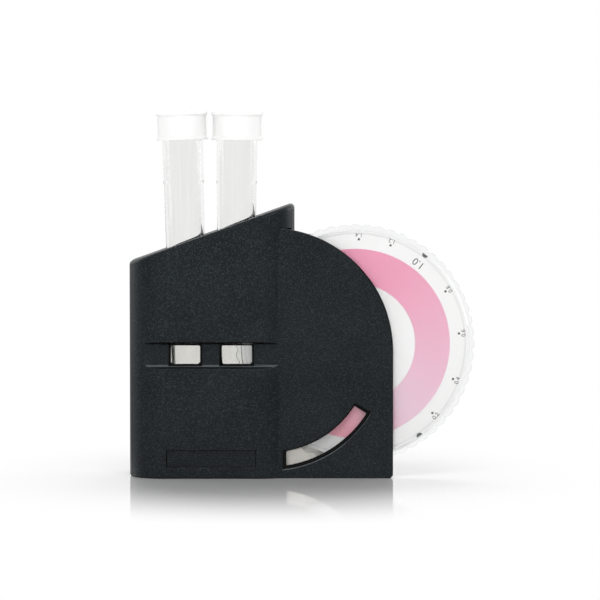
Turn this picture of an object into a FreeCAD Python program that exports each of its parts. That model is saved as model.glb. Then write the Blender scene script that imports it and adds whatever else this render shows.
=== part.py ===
# Colour comparator for water tests: a two-part moulded housing with two capped viewing tubes
# in a sloped top, and a colour disc that slides into a slot in the wing at the right.
# Frame: X to the right, Y to the back, Z up. The origin lies on the base, under the axis
# of the disc's seat, on the parting plane between the two shells.
import FreeCAD
import Part
import Sketcher
import math
import os
import re
from FreeCAD import Vector

SIZES = (
    # Housing block and wing, seen from the front
    ("block_left", 60.4, "seat axis to the left side of the tube block"),
    ("block_right", 10.9, "seat axis to the right side of the tube block"),
    ("seat_height", 54.5, "height of the disc's seat axis"),
    ("slot_sole", 2.5, "base to the disc's slot, under the seat"),
    ("wing_lip", 1.35, "wing's edge beyond the disc's slot"),
    ("top_rise", 10.45, "wing's top to the sloped top at the right side"),
    ("top_fall", 25.4, "fall of the sloped top to the left side"),
    ("corner_round", 14.0, "upright front edges of the block"),
    ("rear_round", 2.0, "upright rear edges of the block"),
    ("edge_round", 1.8, "edges round the sloped top"),
    ("foot_round", 1.2, "edges round the base"),
    ("wing_edge", 0.8, "edge round the wing's face"),
    # Walls
    ("wing_setback", 2.3, "wing face and groove floor behind the block's face"),
    ("front_wall", 2.2, "front wall of the wing"),
    ("shell_wall", 2.2, "side and top walls"),
    ("floor_wall", 2.5, "floor"),
    ("rear_wall", 2.6, "rear wall"),
    # Viewing groove, windows, bare panel and scale window
    ("groove_drop", 5.6, "seat axis to the lower edge of the groove floor"),
    ("groove_rise", 3.3, "seat axis to the upper edge of the groove floor"),
    ("groove_bevel", 1.5, "height of the groove's lower bevel"),
    ("groove_hood", 0.9, "height of the groove's upper bevel"),
    ("left_view", 14.3, "width of the left window"),
    ("right_view", 14.8, "width of the right window"),
    ("view_step", 1.2, "depth of the step round each window"),
    ("view_inset", 0.9, "width of that step along the sides and the bottom"),
    ("view_brow", 0.6, "width of that step along the top"),
    ("view_round", 0.6, "corners of the windows"),
    ("panel_width", 38.4, "bare recessed panel"),
    ("panel_high", 7.0, "height of the panel"),
    ("panel_foot", 5.2, "base to the panel's lower edge"),
    ("panel_deep", 0.8, "depth of the panel"),
    ("scale_margin", 0.4, "scale window inside the disc's rim"),
    ("scale_high", 8.1, "height of the scale window"),
    ("scale_left", 6.0, "seat axis to the scale window's left end"),
    ("scale_angle", 30.7, "right end of the scale window below the level line"),
    ("scale_step", 1.2, "depth of the step round the scale window"),
    ("scale_brow", 0.6, "width of that step along the top"),
    ("scale_lip", 1.4, "width of that step along the bottom and at the left end"),
    ("scale_turn", 1.7, "degrees of that step at the right end"),
    # Viewing tubes and caps
    ("left_well", 35.9, "seat axis to the left tube hole"),
    ("right_well", 13.85, "seat axis to the right tube hole"),
    ("well_hole", 18.8, "diameter of the tube holes"),
    ("tube_mouth", 18.0, "outside diameter of a tube at its mouth"),
    ("tube_foot", 14.7, "outside diameter of a tube at its foot"),
    ("tube_length", 150.0, "length of a tube"),
    ("tube_wall", 1.3, "wall of a tube"),
    ("tube_floor", 2.0, "floor of a tube"),
    ("foot_chamfer", 0.6, "bevel round a tube's foot"),
    ("fill_drop", 28.0, "mouth to the fill line"),
    ("fill_bead", 0.25, "height of the fill line's bead"),
    ("fill_width", 0.7, "width of the fill line's bead"),
    ("tube_seat", 2.5, "height of the pad that a tube stands on"),
    ("seat_pad", 17.0, "diameter of that pad"),
    ("foot_play", 0.05, "gap under the tilted foot of a tube"),
    ("left_lean", 1.55, "degrees that the left tube leans to the left in its hole"),
    ("right_lean", -0.37, "degrees that the right tube leans to the left"),
    ("left_shift", 2.0, "foot of the left tube, right of its hole's axis"),
    ("right_shift", -1.1, "foot of the right tube, right of its hole's axis"),
    ("cap_body", 21.1, "diameter of a cap between its beads"),
    ("cap_bead", 22.3, "diameter of a cap's beads"),
    ("bead_high", 1.3, "height of each bead"),
    ("bead_bevel", 0.45, "bevel of the beads"),
    ("cap_grip", 9.8, "length of tube inside a cap"),
    ("cap_crown", 1.5, "crown of a cap"),
    ("cap_lip", 0.9, "lip above the crown"),
    ("lip_width", 1.6, "width of the lip"),
    ("cap_fit", 0.05, "radial play of a cap on its tube"),
    # Tube carrier and diffuser
    ("carrier_wall", 2.0, "front wall of the tube carrier"),
    ("carrier_left", 52.2, "seat axis to the carrier's left edge"),
    ("carrier_rise", 25.5, "seat axis to the carrier's top edge"),
    ("carrier_fit", 0.3, "gap between the carrier and the right side wall"),
    ("guide_wall", 1.5, "outer guide walls beside the tubes"),
    ("chamber_width", 19.5, "width of each tube chamber"),
    ("chamber_deep", 20.0, "carrier's front wall to the diffuser"),
    ("diffuser_thick", 2.0, "thickness of the opal diffuser"),
    ("diffuser_seat", 0.6, "depth of the diffuser's recess in the rear wall"),
    ("diffuser_edge", 2.5, "rim of the diffuser beyond the rear window"),
    ("diffuser_fit", 0.1, "play round the diffuser"),
    ("rear_view_drop", 14.5, "seat axis to the lower edge of the rear window"),
    ("rear_view_rise", 13.5, "seat axis to the upper edge of the rear window"),
    ("rear_view_side", 9.0, "rear window beyond each tube axis"),
    # Rear wing plate
    ("plate_inset", 1.35, "edge of the rear wing plate inside the wing's edge"),
    ("plate_thick", 2.2, "thickness of the rear wing plate"),
    ("backing_thick", 0.2, "thickness of the pale film behind the scale window"),
    ("backing_margin", 0.9, "backing film beyond the scale window"),
    ("backing_turn", 2.0, "degrees that it goes beyond the window's right end"),
    # Colour disc
    ("lobe_count", 90.0, "lobes round the rim"),
    ("lobe_deep", 0.55, "depth of the valleys between lobes"),
    ("disc_thick", 2.4, "thickness of the disc at its rim"),
    ("disc_play", 0.55, "gap on each side of the disc in its slot"),
    ("slot_play", 0.6, "gap round the disc's rim in its slot"),
    ("rim_width", 2.4, "clear rim outside the film recess"),
    ("disc_floor", 1.0, "clear plate behind the films"),
    ("film_thick", 0.2, "thickness of each film"),
    ("film_play", 0.05, "play between the films and the cover"),
    ("film_edge", 0.2, "radial play of films and cover in the recess"),
    ("film_hole", 8.6, "hole in the middle of the films"),
    ("colour_margin", 10.6, "disc's rim to the colour ring"),
    ("colour_width", 14.9, "width of the colour ring"),
    ("hub_width", 4.0, "diameter of the hub pin"),
    ("hub_fit", 0.05, "radial play of the disc on the hub pin"),
    ("hub_collar", 7.2, "diameter of the hub's collar"),
    ("collar_thick", 0.3, "thickness of the hub's collar"),
    ("channel_deep", 1.2, "depth of the guide channels"),
    ("channel_play", 0.15, "gap on each side of the hub pin in its channel"),
    ("hub_end_play", 0.1, "gap between a pin end and its channel's floor"),
    ("draw_run", 37.0, "disc drawn out to the right of its seat"),
    ("draw_rise", 3.4, "rise of the guide channel over that run"),
    # Fasteners
    ("screw_shank", 2.5, "diameter of the housing screws"),
    ("screw_head", 4.8, "diameter of their heads"),
    ("head_high", 1.9, "height of their heads"),
    ("head_recess", 2.2, "depth of the head recesses"),
    ("head_play", 0.2, "gap round a head in its recess"),
    ("screw_play", 0.1, "radial play of every screw in its hole"),
    ("screw_post", 5.6, "diameter of the screw posts in the rear shell"),
    ("screw_bite", 2.4, "length of a housing screw in the front shell"),
    ("bite_spare", 0.2, "depth left under a screw's tip"),
    ("screw_inset", 5.2, "left side to the left screws"),
    ("screw_foot", 6.2, "height of the lower left screw"),
    ("screw_drop", 5.0, "upper screws below the sloped top"),
    ("screw_right", 5.9, "right side of the block to the upper right screw"),
    ("wing_inset", 6.35, "wing's right edge to its screw"),
    ("wing_foot", 3.3, "height of the wing screw"),
    ("pillar_width", 4.2, "diameter of the carrier's screw pillars"),
    ("pin_shank", 2.0, "diameter of the carrier screws"),
    ("pin_head", 3.6, "diameter of their countersunk heads"),
    ("pin_length", 8.0, "length of the carrier screws"),
    ("pin_side", 2.5, "carrier's side edges to its screws"),
    ("pin_end", 14.0, "carrier's top and foot to its screws"),
)

doc = FreeCAD.newDocument("colour_comparator")
sheet = doc.addObject("Spreadsheet::Sheet", "Sizes")
for row, (alias, number, meaning) in enumerate(SIZES, start=1):
    sheet.set(f"A{row}", meaning)
    sheet.set(f"B{row}", str(number))
    sheet.setAlias(f"B{row}", alias)
doc.recompute()


# Formulas are written in plain size names, and each name becomes a cell of the sheet
def bound(formula):
    return re.sub(r"\b[a-z]+(_[a-z]+)+\b", r"Sizes.\g<0>", formula)


def value(formula):
    return float(sheet.evalExpression(bound(formula)))


# Derived sizes and places, in formulas: the housing is built round the disc and its seat
DISC_ROUND = "(seat_height - slot_sole - slot_play)"
WING_ROUND = "(seat_height - slot_sole + wing_lip)"
TOP_RIGHT = f"(seat_height + {WING_ROUND} + top_rise)"
TOP_LEFT = f"({TOP_RIGHT} - top_fall)"
GROOVE_LOW = "(seat_height - groove_drop)"
GROOVE_HIGH = "(seat_height + groove_rise)"
SCALE_OUTER = f"({DISC_ROUND} - scale_margin)"
SCALE_INNER = f"({SCALE_OUTER} - scale_high)"
PLATE_ROUND = f"({WING_ROUND} - plate_inset)"
CARRIER_TOP = "(seat_height + carrier_rise)"
REAR_VIEW_LOW = "(seat_height - rear_view_drop)"
REAR_VIEW_HIGH = "(seat_height + rear_view_rise)"
COLOUR_OUTER = f"({DISC_ROUND} - colour_margin)"
COLOUR_INNER = f"({COLOUR_OUTER} - colour_width)"
SLOT = "(disc_thick + 2 * disc_play)"
WING_FACE = f"(front_wall + {SLOT})"
FRONT = f"(wing_setback + {WING_FACE})"
DIFFUSER_FRONT = "(carrier_wall + chamber_deep)"
DIFFUSER_BACK = f"({DIFFUSER_FRONT} + diffuser_thick)"
CAVITY = f"({DIFFUSER_BACK} - diffuser_seat)"
REAR = f"({CAVITY} + rear_wall)"
WELL_DEPTH = "(carrier_wall + chamber_deep / 2)"
SLOPE = "(top_fall / (block_left + block_right))"
WALL_DROP = f"(shell_wall * sqrt(1 + {SLOPE}^2))"
INNER_LEFT = "(-block_left + shell_wall)"
INNER_RIGHT = "(block_right - shell_wall)"
VIEW_LOW = f"({GROOVE_LOW} - groove_bevel / 3)"
LEFT_SCREW = "(-block_left + screw_inset)"
RIGHT_SCREW = "(block_right - screw_right)"
WING_SCREW = f"({WING_ROUND} - wing_inset)"
PIN_LEFT = "(-carrier_left + pin_side)"
PIN_RIGHT = f"({INNER_RIGHT} - carrier_fit - pin_side)"


def top_at(across):
    return f"({TOP_LEFT} + (({across}) + block_left) * {SLOPE})"


SCREW_PLACES = (
    (LEFT_SCREW, "screw_foot"),
    (LEFT_SCREW, f"{top_at(LEFT_SCREW)} - screw_drop"),
    (RIGHT_SCREW, f"{top_at(RIGHT_SCREW)} - screw_drop"),
)
WING_SCREW_PLACE = (WING_SCREW, "wing_foot")
PIN_PLACES = [
    (across, up)
    for across in (PIN_LEFT, PIN_RIGHT)
    for up in ("floor_wall + pin_end", f"{CARRIER_TOP} - pin_end")
]
VIEWS = (("left_well", "left_view"), ("right_well", "right_view"))


# Sketches: every corner, centre and radius is driven by a formula
def new_body(label):
    body = doc.addObject("PartDesign::Body", label)
    body.Label = label
    return body


def sketch_on(body, name, role, offset):
    plane = next(item for item in body.Origin.OriginFeatures if item.Role == role)
    sketch = body.newObject("Sketcher::SketchObject", f"{body.Name}_{name}")
    sketch.AttachmentSupport = [(plane, "")]
    sketch.MapMode = "FlatFace"
    sketch.setExpression("AttachmentOffset.Base.z", bound(offset))
    return sketch


def front_sketch(body, name, depth):
    return sketch_on(body, name, "XZ_Plane", f"-({depth})")


def plan_sketch(body, name, height):
    return sketch_on(body, name, "XY_Plane", height)


def drive(sketch, kind, *where, formula):
    number = sketch.addConstraint(Sketcher.Constraint(kind, *where, value(formula)))
    sketch.setExpression(f"Constraints[{number}]", bound(formula))


def add_polygon(sketch, corners):
    points = [Vector(value(across), value(up), 0) for across, up in corners]
    edges = []
    for number, point in enumerate(points):
        following = points[(number + 1) % len(points)]
        edges.append(sketch.addGeometry(Part.LineSegment(point, following), False))
    for number, edge in enumerate(edges):
        following = edges[(number + 1) % len(edges)]
        sketch.addConstraint(Sketcher.Constraint("Coincident", edge, 2, following, 1))
        drive(sketch, "DistanceX", edge, 1, formula=corners[number][0])
        drive(sketch, "DistanceY", edge, 1, formula=corners[number][1])


def add_rectangle(sketch, left, right, low, high):
    add_polygon(sketch, ((left, low), (right, low), (right, high), (left, high)))


def add_circle(sketch, across, up, diameter):
    centre = Vector(value(across), value(up), 0)
    circle = Part.Circle(centre, Vector(0, 0, 1), value(diameter) / 2)
    edge = sketch.addGeometry(circle, False)
    drive(sketch, "DistanceX", edge, 3, formula=across)
    drive(sketch, "DistanceY", edge, 3, formula=up)
    drive(sketch, "Diameter", edge, formula=diameter)


def add_arc(sketch, across, up, radius, start, end):
    centre = Vector(value(across), value(up), 0)
    circle = Part.Circle(centre, Vector(0, 0, 1), value(radius))
    edge = sketch.addGeometry(Part.ArcOfCircle(circle, start, end), False)
    drive(sketch, "DistanceX", edge, 3, formula=across)
    drive(sketch, "DistanceY", edge, 3, formula=up)
    drive(sketch, "Radius", edge, formula=radius)
    return edge


def add_link(sketch, first, first_end, second, second_end):
    ends = [sketch.getPoint(first, first_end), sketch.getPoint(second, second_end)]
    edge = sketch.addGeometry(Part.LineSegment(*ends), False)
    sketch.addConstraint(Sketcher.Constraint("Coincident", edge, 1, first, first_end))
    sketch.addConstraint(Sketcher.Constraint("Coincident", edge, 2, second, second_end))


# Features: pads and cuts of front sketches run to the back
def pad(body, sketch, length, reverse=True):
    feature = body.newObject("PartDesign::Pad", f"{sketch.Name}_pad")
    feature.Profile = sketch
    feature.setExpression("Length", bound(length))
    feature.Reversed = reverse
    return feature


def cut(body, sketch, length):
    feature = body.newObject("PartDesign::Pocket", f"{sketch.Name}_cut")
    feature.Profile = sketch
    feature.setExpression("Length", bound(length))
    return feature


def revolve(body, sketch):
    feature = body.newObject("PartDesign::Revolution", f"{sketch.Name}_turn")
    feature.Profile = sketch
    feature.ReferenceAxis = (sketch, ["V_Axis"])
    feature.Angle = 360
    return feature


def dress(body, kind, name, prop, amount, base, wanted):
    doc.recompute()
    edges = base.Shape.Edges
    names = [f"Edge{number}" for number, edge in enumerate(edges, start=1) if wanted(edge)]
    feature = body.newObject(f"PartDesign::{kind}", f"{body.Name}_{name}")
    feature.Base = (base, names)
    feature.setExpression(prop, bound(amount))
    return feature


# Closed outer form of the block, which both shells are cut from
def upright_at(depth):
    def wanted(edge):
        box = edge.BoundBox
        flat = box.XLength < 1e-6 and box.YLength < 1e-6
        return flat and abs(box.YMin - depth) < 1e-6
    return wanted


def on_top(edge):
    height_gap = [abs(vertex.Z - value(top_at(str(vertex.X)))) for vertex in edge.Vertexes]
    return max(height_gap) < 1e-4


def on_base(edge):
    return edge.BoundBox.ZMax < 1e-6


def add_block(body):
    outline = front_sketch(body, "outline", f"-{FRONT}")
    add_polygon(outline, (
        ("-block_left", "0"),
        ("block_right", "0"),
        ("block_right", TOP_RIGHT),
        ("-block_left", TOP_LEFT),
    ))
    block = pad(body, outline, f"{FRONT} + {REAR}")
    front = dress(body, "Fillet", "front_corners", "Radius", "corner_round", block,
                  upright_at(-value(FRONT)))
    rear = dress(body, "Fillet", "rear_corners", "Radius", "rear_round", front,
                 upright_at(value(REAR)))
    top = dress(body, "Fillet", "top_edges", "Radius", "edge_round", rear, on_top)
    dress(body, "Fillet", "base_edges", "Radius", "foot_round", top, on_base)


def cut_half(body, depth, length):
    sketch = front_sketch(body, "half", depth)
    reach = f"(block_left + {WING_ROUND})"
    add_rectangle(sketch, f"-{reach}", reach, f"-{reach}", f"{TOP_RIGHT} + {WING_ROUND}")
    cut(body, sketch, length)


# The disc runs in along a line that climbs to the right from its seat. What follows that line,
# the slot for the disc and the channels for the hub pin, is a strip with a round end.
SLOT_HALF = f"({DISC_ROUND} + slot_play)"
CHANNEL_HALF = "(hub_width / 2 + channel_play)"


def add_strip(sketch, half):
    length = "sqrt(draw_run^2 + draw_rise^2)"
    over = f"({half} * draw_rise / {length})"
    rise = f"({half} * draw_run / {length})"
    reach = f"(2 * {WING_ROUND})"
    climb = f"({reach} * draw_rise / draw_run)"
    add_polygon(sketch, (
        (over, f"seat_height - {rise}"),
        (f"{reach} + {over}", f"seat_height + {climb} - {rise}"),
        (f"{reach} - {over}", f"seat_height + {climb} + {rise}"),
        (f"-{over}", f"seat_height + {rise}"),
    ))


def cut_strip(body, name, half, depth, length):
    run = front_sketch(body, name, depth)
    add_strip(run, half)
    cut(body, run, length)


def cut_round_end(body, name, half, depth, length):
    end = front_sketch(body, f"{name}_end", depth)
    add_circle(end, "0", "seat_height", f"2 * {half}")
    cut(body, end, length)


# The wing's foot with its bevelled corner, and the edges round its face that the hand meets
def add_foot(sketch, left, right):
    add_polygon(sketch, (
        (left, "0"),
        (f"{right} - foot_round", "0"),
        (right, "foot_round"),
        (right, "seat_height"),
        (left, "seat_height"),
    ))


def round_wing_face(edge):
    box = edge.BoundBox
    on_face = abs(box.YMin + value(WING_FACE)) < 1e-4 and box.YLength < 1e-4
    return on_face and box.XMax > value("block_right") and box.ZMax > value("foot_round") + 1e-4


# The scale window and its backing film: a strip curved about the seat axis
def add_curved_strip(sketch, inner, outer, left, angle):
    arcs = []
    for radius in (inner, outer):
        start = -math.acos(value(f"{left} / {radius}"))
        end = -math.radians(value(angle))
        arc = add_arc(sketch, "0", "seat_height", radius, start, end)
        drive(sketch, "DistanceX", arc, 1, formula=left)
        drive(sketch, "DistanceY", arc, 2, formula=f"seat_height - {radius} * sin({angle})")
        arcs.append(arc)
    add_link(sketch, arcs[0], 1, arcs[1], 1)
    add_link(sketch, arcs[0], 2, arcs[1], 2)


# Front shell: block face, wing face, groove, windows, bare panel, scale window, disc slot
def build_front_shell():
    body = new_body("front_shell")
    add_block(body)
    cut_half(body, "0", REAR)

    cheek = front_sketch(body, "wing_cheek", f"-{WING_FACE}")
    arc = add_arc(cheek, "0", "seat_height", WING_ROUND, 0, math.pi / 2)
    drive(cheek, "DistanceY", arc, 1, formula="seat_height")
    drive(cheek, "DistanceX", arc, 2, formula="0")
    add_link(cheek, arc, 2, arc, 3)
    add_link(cheek, arc, 3, arc, 1)
    pad(body, cheek, WING_FACE)
    foot = front_sketch(body, "wing_foot", f"-{WING_FACE}")
    add_foot(foot, "0", WING_ROUND)
    wing = pad(body, foot, WING_FACE)
    dress(body, "Fillet", "wing_edges", "Radius", "wing_edge", wing, round_wing_face)

    groove = sketch_on(body, "groove", "YZ_Plane", "-block_left")
    add_polygon(groove, (
        (f"-{FRONT}", f"{GROOVE_LOW} - groove_bevel"),
        (f"-{WING_FACE}", GROOVE_LOW),
        (f"-{WING_FACE}", GROOVE_HIGH),
        (f"-{FRONT}", f"{GROOVE_HIGH} + groove_hood"),
    ))
    cut(body, groove, "block_left + block_right").Reversed = True

    frames = front_sketch(body, "window_frames", f"-{FRONT}")
    views = front_sketch(body, "windows", f"-{FRONT}")
    for well, width in VIEWS:
        add_rectangle(frames, f"-{well} - {width} / 2", f"-{well} + {width} / 2",
                      VIEW_LOW, GROOVE_HIGH)
        add_rectangle(views, f"-{well} - {width} / 2 + view_inset",
                      f"-{well} + {width} / 2 - view_inset",
                      f"{VIEW_LOW} + view_inset", f"{GROOVE_HIGH} - view_brow")
    cut(body, frames, "wing_setback + view_step")
    opened = cut(body, views, FRONT)
    view_deep = value(f"{WING_FACE} - view_step")

    def view_corner(edge):
        box = edge.BoundBox
        return box.XLength + box.ZLength < 1e-6 and abs(box.YLength - view_deep) < 1e-6

    dress(body, "Fillet", "view_corners", "Radius", "view_round", opened, view_corner)

    middle = "((left_well + right_well) / 2)"
    panel = front_sketch(body, "panel", f"-{FRONT}")
    add_rectangle(panel, f"-{middle} - panel_width / 2", f"-{middle} + panel_width / 2",
                  "panel_foot", "panel_foot + panel_high")
    cut(body, panel, "panel_deep")

    step = front_sketch(body, "scale_step", f"-{FRONT}")
    add_curved_strip(step, SCALE_INNER, SCALE_OUTER, "scale_left", "scale_angle")
    cut(body, step, "wing_setback + scale_step")
    scale = front_sketch(body, "scale_window", f"-{FRONT}")
    add_curved_strip(scale, f"({SCALE_INNER} + scale_brow)", f"({SCALE_OUTER} - scale_lip)",
                     "(scale_left + scale_lip)", "(scale_angle + scale_turn)")
    cut(body, scale, FRONT)

    cut_strip(body, "slot", SLOT_HALF, f"-{SLOT}", SLOT)
    cut_round_end(body, "slot", SLOT_HALF, f"-{SLOT}", SLOT)
    groove_floor = f"-{SLOT} - channel_deep"
    cut_strip(body, "channel", CHANNEL_HALF, groove_floor, "channel_deep")
    cut_round_end(body, "channel", CHANNEL_HALF, groove_floor, "channel_deep")
    pilots = front_sketch(body, "pilots", "-screw_bite - bite_spare")
    for across, up in (*SCREW_PLACES, WING_SCREW_PLACE):
        add_circle(pilots, across, up, "screw_shank + 2 * screw_play")
    cut(body, pilots, "screw_bite + bite_spare")
    return body


# Rear shell: sloped top with the tube holes, tube seats, rear window, rear wing plate, posts
def build_rear_shell():
    body = new_body("rear_shell")
    add_block(body)
    cut_half(body, f"-{FRONT}", FRONT)

    cavity = front_sketch(body, "cavity", "0")
    add_polygon(cavity, (
        (INNER_LEFT, "floor_wall"),
        (INNER_RIGHT, "floor_wall"),
        (INNER_RIGHT, f"{top_at(INNER_RIGHT)} - {WALL_DROP}"),
        (INNER_LEFT, f"{top_at(INNER_LEFT)} - {WALL_DROP}"),
    ))
    cut(body, cavity, CAVITY)

    plate = front_sketch(body, "wing_plate", "0")
    turn = math.acos(value(f"{INNER_RIGHT} / {PLATE_ROUND}"))
    arc = add_arc(plate, "0", "seat_height", PLATE_ROUND, -turn, turn)
    drive(plate, "DistanceX", arc, 1, formula=INNER_RIGHT)
    drive(plate, "DistanceX", arc, 2, formula=INNER_RIGHT)
    add_link(plate, arc, 2, arc, 1)
    pad(body, plate, "plate_thick")
    foot = front_sketch(body, "wing_foot", "0")
    add_foot(foot, INNER_RIGHT, PLATE_ROUND)
    pad(body, foot, "plate_thick")

    posts = front_sketch(body, "posts", "0")
    for across, up in SCREW_PLACES:
        add_circle(posts, across, up, "screw_post")
    pad(body, posts, CAVITY)
    pillars = front_sketch(body, "pillars", "carrier_wall")
    for across, up in PIN_PLACES:
        add_circle(pillars, across, up, "pillar_width")
    pad(body, pillars, f"{CAVITY} - carrier_wall")
    seats = plan_sketch(body, "seats", "floor_wall")
    for well, width in VIEWS:
        add_circle(seats, f"-{well}", WELL_DEPTH, "seat_pad")
    pad(body, seats, "tube_seat", reverse=False)

    holes = plan_sketch(body, "tube_holes", TOP_RIGHT)
    for well, width in VIEWS:
        add_circle(holes, f"-{well}", WELL_DEPTH, "well_hole")
    cut(body, holes, f"{TOP_RIGHT} - {CARRIER_TOP}")

    view_left = "(-left_well - rear_view_side)"
    view_right = "(-right_well + rear_view_side)"
    view = front_sketch(body, "rear_window", CAVITY)
    add_rectangle(view, view_left, view_right, REAR_VIEW_LOW, REAR_VIEW_HIGH)
    cut(body, view, "rear_wall")
    rim = "(diffuser_edge + diffuser_fit)"
    recess = front_sketch(body, "diffuser_recess", CAVITY)
    add_rectangle(recess, f"{view_left} - {rim}", f"{view_right} + {rim}",
                  f"{REAR_VIEW_LOW} - {rim}", f"{REAR_VIEW_HIGH} + {rim}")
    cut(body, recess, "diffuser_seat")

    bores = front_sketch(body, "screw_bores", "0")
    for across, up in (*SCREW_PLACES, WING_SCREW_PLACE):
        add_circle(bores, across, up, "screw_shank + 2 * screw_play")
    cut(body, bores, REAR)
    heads = front_sketch(body, "head_recesses", f"{REAR} - head_recess")
    for across, up in SCREW_PLACES:
        add_circle(heads, across, up, "screw_head + 2 * head_play")
    cut(body, heads, "head_recess")
    pilots = front_sketch(body, "pin_pilots", "carrier_wall")
    for across, up in PIN_PLACES:
        add_circle(pilots, across, up, "pin_shank + 2 * screw_play")
    cut(body, pilots, "pin_length")
    cut_strip(body, "channel", CHANNEL_HALF, "0", "channel_deep")
    return body


# Tube carrier: partition behind the disc with two apertures, and three guide walls
def build_tube_carrier():
    body = new_body("tube_carrier")
    wall = front_sketch(body, "wall", "0")
    add_rectangle(wall, "-carrier_left", f"{INNER_RIGHT} - carrier_fit",
                  "floor_wall", CARRIER_TOP)
    pad(body, wall, "carrier_wall")
    half = "chamber_width / 2"
    guides = front_sketch(body, "guides", "carrier_wall")
    for left, right in (
        (f"-left_well - {half} - guide_wall", f"-left_well - {half}"),
        (f"-left_well + {half}", f"-right_well - {half}"),
        (f"-right_well + {half}", f"-right_well + {half} + guide_wall"),
    ):
        add_rectangle(guides, left, right, "floor_wall", CARRIER_TOP)
    pad(body, guides, "chamber_deep")
    views = front_sketch(body, "apertures", "0")
    for well, width in VIEWS:
        add_rectangle(views, f"-{well} - {width} / 2", f"-{well} + {width} / 2",
                      VIEW_LOW, GROOVE_HIGH)
    cut(body, views, "carrier_wall")
    cut_strip(body, "channel", CHANNEL_HALF, "0", "channel_deep")
    cut_round_end(body, "channel", CHANNEL_HALF, "0", "channel_deep")
    bores = front_sketch(body, "pin_bores", "0")
    for across, up in PIN_PLACES:
        add_circle(bores, across, up, "pin_shank + 2 * screw_play")
    drilled = cut(body, bores, "carrier_wall")
    bore = value("pin_shank / 2 + screw_play")

    def bore_mouth(edge):
        round_edge = isinstance(edge.Curve, Part.Circle) and abs(edge.Curve.Radius - bore) < 1e-6
        return round_edge and abs(edge.BoundBox.YMax) < 1e-6

    dress(body, "Chamfer", "pin_sinks", "Size", "(pin_head - pin_shank) / 2", drilled, bore_mouth)
    return body


def build_diffuser():
    body = new_body("diffuser_plate")
    sketch = front_sketch(body, "outline", DIFFUSER_FRONT)
    add_rectangle(sketch, "-left_well - rear_view_side - diffuser_edge",
                  "-right_well + rear_view_side + diffuser_edge",
                  f"{REAR_VIEW_LOW} - diffuser_edge", f"{REAR_VIEW_HIGH} + diffuser_edge")
    pad(body, sketch, "diffuser_thick")
    return body


# Pale film behind the scale window, glued across the carrier and the rear wing plate
def build_backing():
    body = new_body("scale_backing")
    sketch = front_sketch(body, "strip", "-backing_thick")
    add_curved_strip(sketch, f"({SCALE_INNER} - backing_margin)", f"({SCALE_OUTER} + backing_margin)",
                     "(scale_left - backing_margin)", "(scale_angle - backing_turn)")
    pad(body, sketch, "backing_thick")
    return body


# Viewing tubes: tapered, with a bead for the fill line, each leaning a little in its hole
def tube_radius(height):
    return f"(tube_foot / 2 + (tube_mouth - tube_foot) / 2 * ({height}) / tube_length)"


def stand_tube(body, side):
    lean = value(f"{side}_lean")
    tip_up = value("tube_foot / 2 - foot_chamfer") * abs(math.sin(math.radians(lean)))
    foot = Vector(
        value(f"-{side}_well + {side}_shift"),
        value(WELL_DEPTH),
        value("floor_wall + tube_seat + foot_play") + tip_up,
    )
    body.Placement = FreeCAD.Placement(foot, FreeCAD.Rotation(Vector(0, 1, 0), -lean))


def build_tube(side):
    body = new_body(f"{side}_tube")
    profile = front_sketch(body, "profile", "0")
    line = "(tube_length - fill_drop)"
    low = f"({line} - fill_width / 2)"
    high = f"({line} + fill_width / 2)"
    add_polygon(profile, (
        ("0", "0"),
        ("tube_foot / 2 - foot_chamfer", "0"),
        (tube_radius("foot_chamfer"), "foot_chamfer"),
        (tube_radius(low), low),
        (f"{tube_radius(line)} + fill_bead", line),
        (tube_radius(high), high),
        ("tube_mouth / 2", "tube_length"),
        ("tube_mouth / 2 - tube_wall", "tube_length"),
        (f"{tube_radius('tube_floor')} - tube_wall", "tube_floor"),
        ("0", "tube_floor"),
    ))
    revolve(body, profile)
    stand_tube(body, side)
    return body


def build_cap(side):
    body = new_body(f"{side}_tube_cap")
    profile = front_sketch(body, "profile", "0")
    foot = "(tube_length - cap_grip)"
    crown = "(tube_length + cap_crown)"
    top = f"({crown} + cap_lip)"
    bore = "(tube_mouth / 2 + cap_fit)"
    add_polygon(profile, (
        ("0", "tube_length"),
        (bore, "tube_length"),
        (bore, foot),
        ("cap_bead / 2", foot),
        ("cap_bead / 2", f"{foot} + bead_high - bead_bevel"),
        ("cap_body / 2", f"{foot} + bead_high"),
        ("cap_body / 2", f"{top} - bead_high - bead_bevel"),
        ("cap_bead / 2", f"{top} - bead_high"),
        ("cap_bead / 2", f"{top} - bead_bevel"),
        ("cap_bead / 2 - bead_bevel", top),
        ("cap_bead / 2 - bead_bevel - lip_width", top),
        ("cap_bead / 2 - bead_bevel - lip_width", crown),
        ("0", crown),
    ))
    revolve(body, profile)
    stand_tube(body, side)
    return body


# Colour disc: the plate's lobed rim is a ring of equal arcs between cusps
DISC_BACK = "(-disc_play)"
DISC_FRONT = "(-disc_play - disc_thick)"
RECESS_FLOOR = "(-disc_play - disc_floor)"
RECESS_ROUND = f"({DISC_ROUND} - rim_width)"


def place_disc(item):
    item.setExpression("Placement.Base.x", bound("draw_run"))
    item.setExpression("Placement.Base.z", bound("seat_height + draw_rise"))


def lobed_outline(tip, valley, count):
    step = 2 * math.pi / count
    arcs = []
    for number in range(count):
        turns = (number - 0.5, number, number + 0.5)
        radii = (valley, tip, valley)
        points = [
            Vector(radius * math.cos(turn * step), 0, radius * math.sin(turn * step))
            for turn, radius in zip(turns, radii)
        ]
        arcs.append(Part.Arc(*points).toShape())
    return Part.Wire(arcs)


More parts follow.
